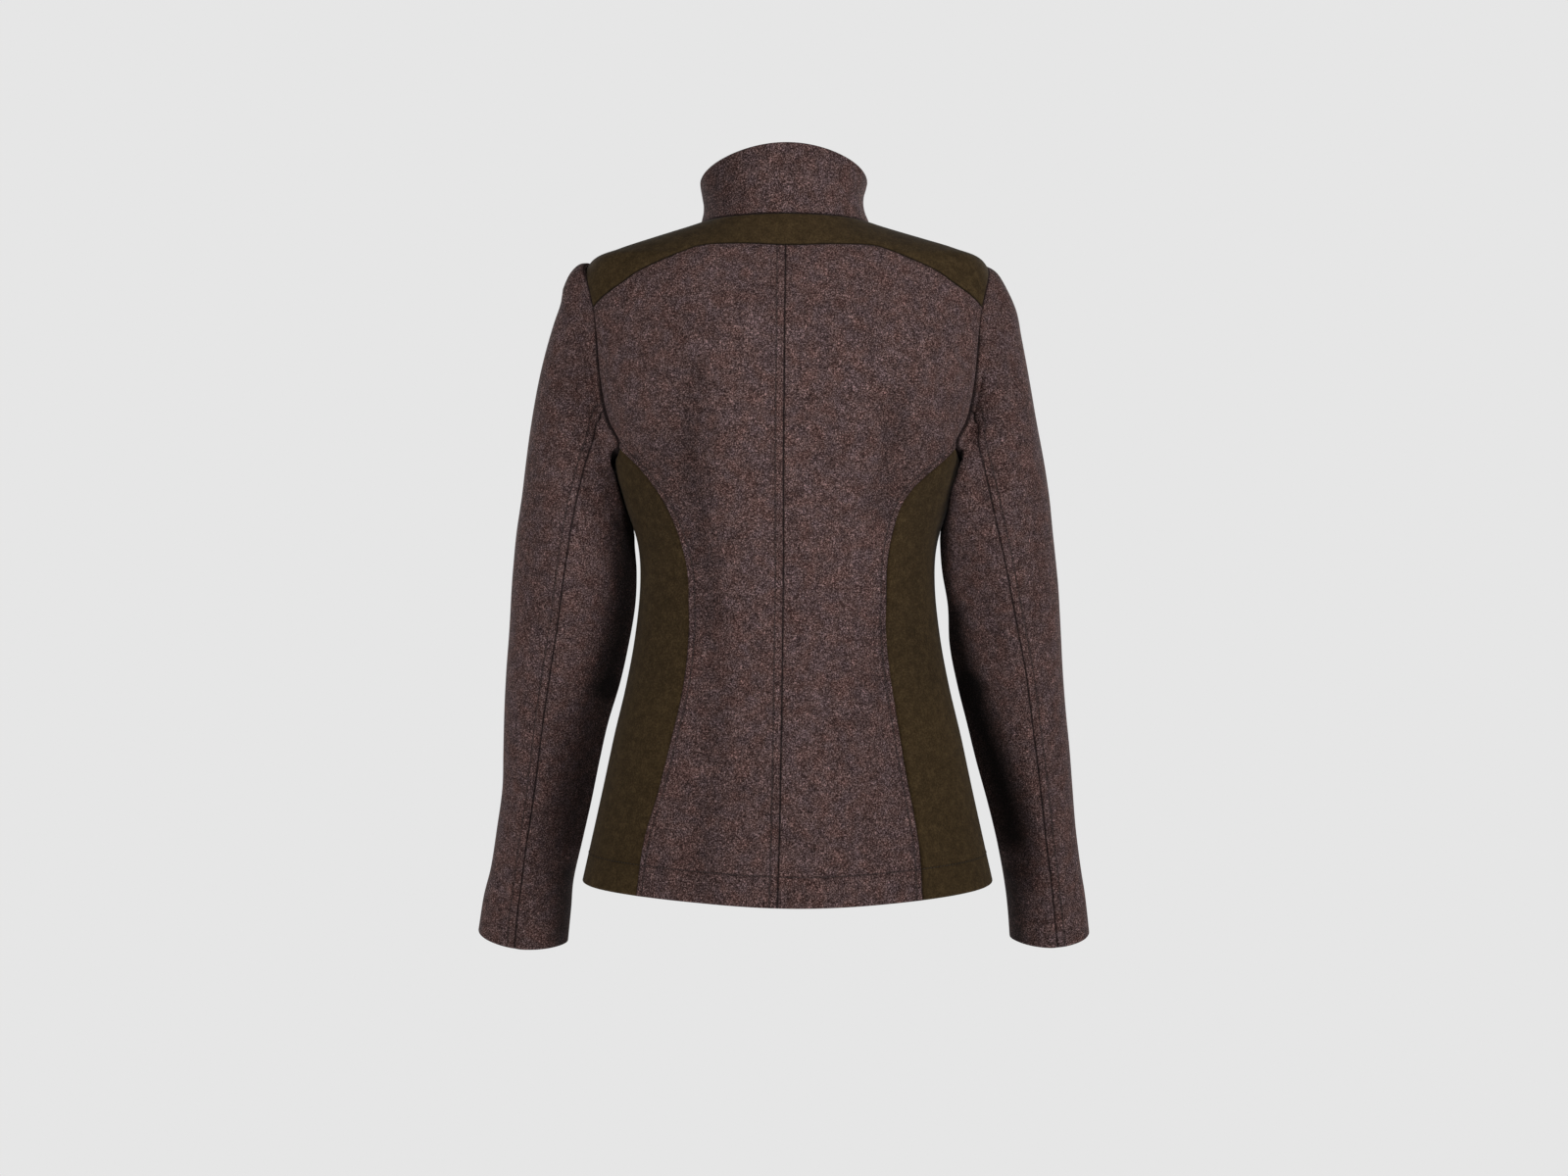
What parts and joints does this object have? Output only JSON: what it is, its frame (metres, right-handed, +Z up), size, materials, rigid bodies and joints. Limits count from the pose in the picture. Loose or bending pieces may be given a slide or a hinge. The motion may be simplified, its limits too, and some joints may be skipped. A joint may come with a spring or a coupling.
{
  "type": "women's loden jacket",
  "caption": "Waisted women's jacket in worn form, with long two-piece sleeves, a tall stand collar, and a yoke and side panels in a second cloth.",
  "frame": {"origin": "centre of the neck opening, level with the side neck points, where the jacket hangs on the wearer's shoulders", "axes": "+Z up along the wearer's spine; the wearer faces -Y; +X is the wearer's left"},
  "size_m": [0.5952, 0.2607, 0.7573],
  "materials": {
    "tweed_loden": "flecked wool, fulled, with a short nap",
    "olive_loden": "plain fulled wool with a short nap",
    "horn": "polished dark horn"
  },
  "bodies": {
    "root": {"back_left": "tweed_loden", "back_right": "tweed_loden", "side_left": "olive_loden", "side_right": "olive_loden", "front_left": "tweed_loden", "front_right": "tweed_loden", "yoke": "olive_loden", "collar": "tweed_loden", "sleeve_upper_left": "tweed_loden", "sleeve_upper_right": "tweed_loden", "sleeve_under_left": "tweed_loden", "sleeve_under_right": "tweed_loden", "button_1": "horn", "button_2": "horn", "button_3": "horn", "button_4": "horn", "button_5": "horn", "button_6": "horn"}
  },
  "joints": []
}
